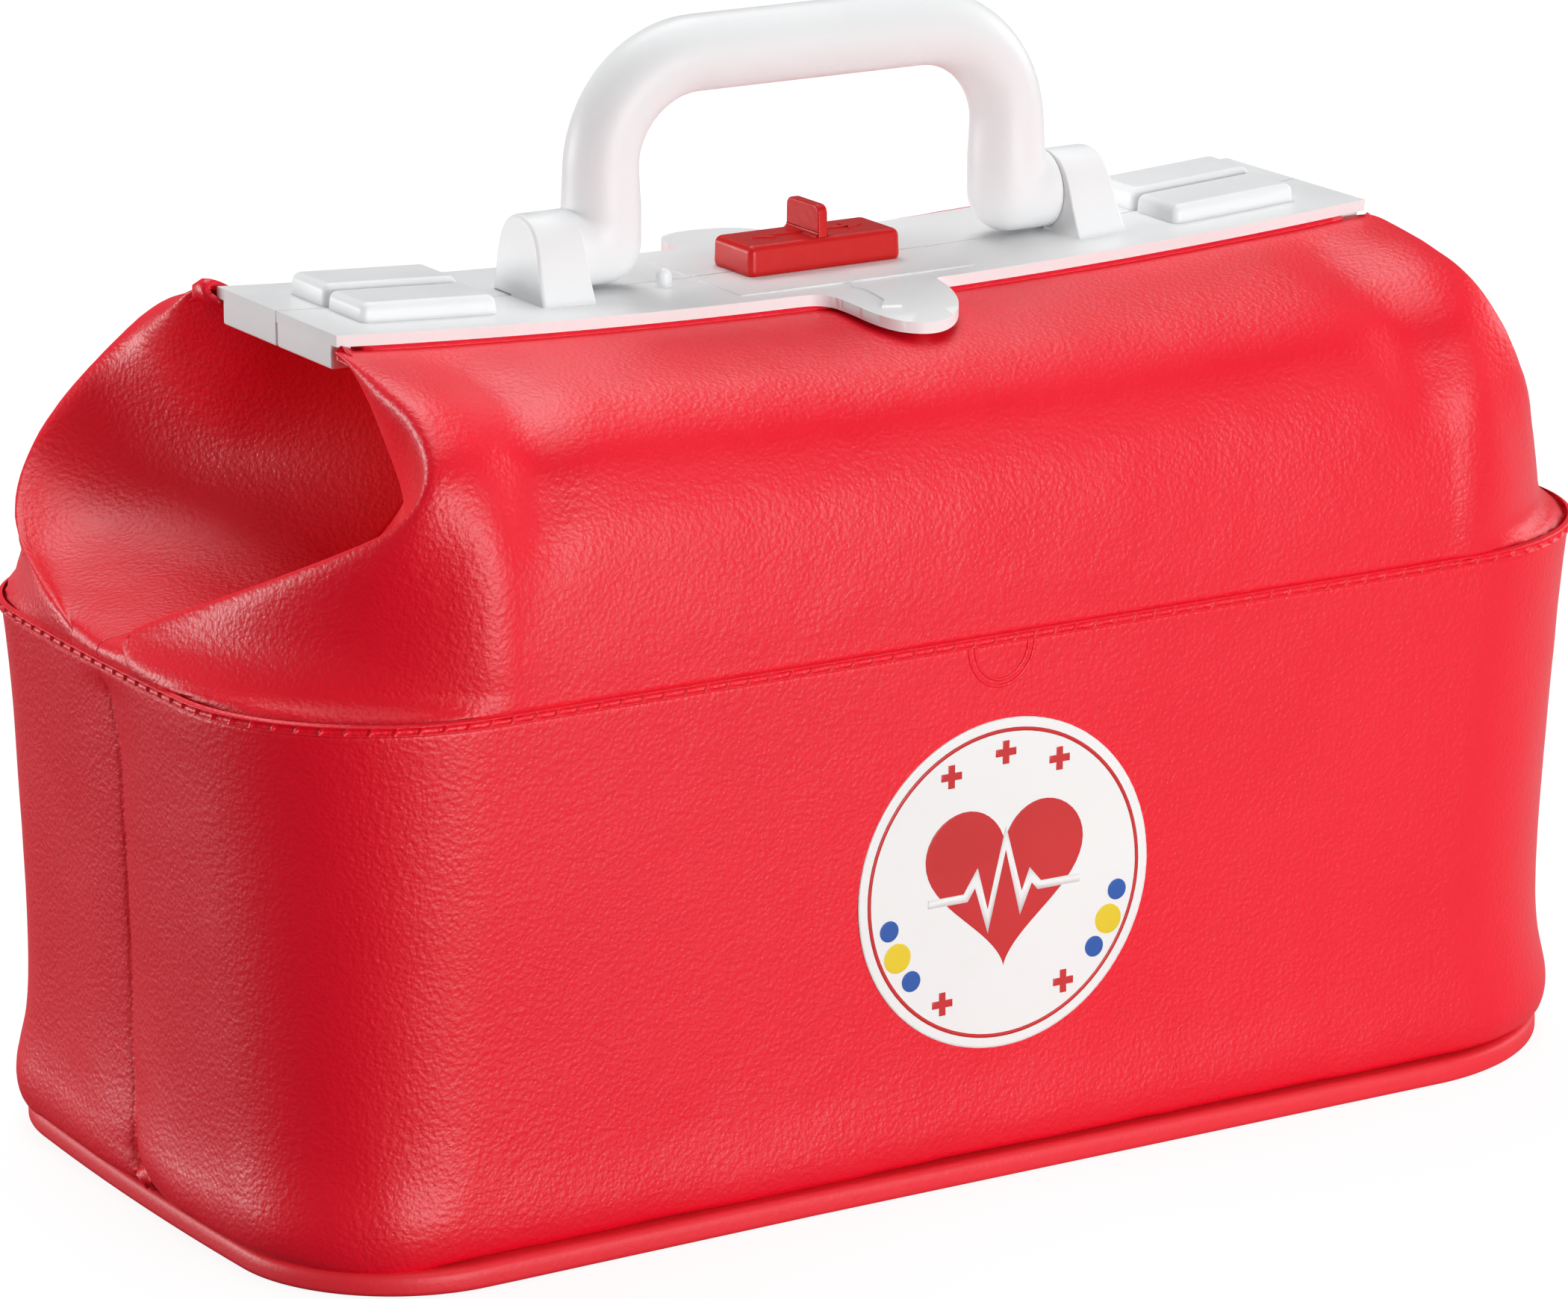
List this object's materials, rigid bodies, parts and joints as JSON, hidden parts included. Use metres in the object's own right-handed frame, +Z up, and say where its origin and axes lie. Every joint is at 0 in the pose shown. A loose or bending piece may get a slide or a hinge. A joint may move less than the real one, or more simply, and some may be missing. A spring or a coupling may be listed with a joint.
{
  "type": "toy doctor case",
  "caption": "Soft vinyl toy doctor case with a split white frame, folding loop handle, slide latch and folding end gussets.",
  "frame": {"origin": "middle of the footprint, on the surface the case stands on", "axes": "+X along the length of the case, front wall with the round label facing -Y, +Z up"},
  "size_m": [0.28, 0.1346, 0.197],
  "materials": {
    "red_vinyl": "soft moulded vinyl with a fine leather grain, satin",
    "red_sole": "the same vinyl, thicker and smoother",
    "white_plastic": "smooth injection-moulded white plastic",
    "red_plastic": "smooth moulded orange-red plastic",
    "grey_board": "pressed fibreboard",
    "printed_label": null
  },
  "bodies": {
    "root": {"bag_tub": "red_vinyl", "base_pad": "red_sole", "floor_board": "grey_board", "round_label": "printed_label", "left_gusset": "red_vinyl", "right_gusset": "red_vinyl"},
    "front_half": {"front_panel": "red_vinyl", "front_frame": "white_plastic", "front_clamp_strip": "white_plastic", "front_rivet_1": "white_plastic", "front_rivet_2": "white_plastic", "front_rivet_3": "white_plastic", "front_rivet_4": "white_plastic", "stop_peg": "white_plastic"},
    "rear_half": {"rear_panel": "red_vinyl", "rear_frame": "white_plastic", "rear_clamp_strip": "white_plastic", "rear_rivet_1": "white_plastic", "rear_rivet_2": "white_plastic", "rear_rivet_3": "white_plastic", "rear_rivet_4": "white_plastic"},
    "carry_handle": {"handle": "white_plastic"},
    "latch": {"latch_slider": "red_plastic", "latch_retainer": "white_plastic"}
  },
  "joints": [
    {"name": "front_open", "type": "hinge", "parent": "root", "child": "front_half", "pos_m": [0, -0.0658, 0.0976], "axis": [1, 0, 0], "range_deg": [0, 35], "deforming": ["left_gusset", "right_gusset"]},
    {"name": "rear_open", "type": "hinge", "parent": "root", "child": "rear_half", "pos_m": [0, 0.0658, 0.0976], "axis": [1, 0, 0], "range_deg": [-35, 0]},
    {"name": "handle_fold", "type": "hinge", "parent": "front_half", "child": "carry_handle", "pos_m": [0, 0, 0.16], "axis": [1, 0, 0], "range_deg": [-85, 85]},
    {"name": "latch_slide", "type": "slide", "parent": "front_half", "child": "latch", "axis": [1, 0, 0], "range_m": [-0.008, 0.008]}
  ],
  "couplings": [
    {"joint": "rear_open", "follows": "front_open", "ratio": -1}
  ]
}
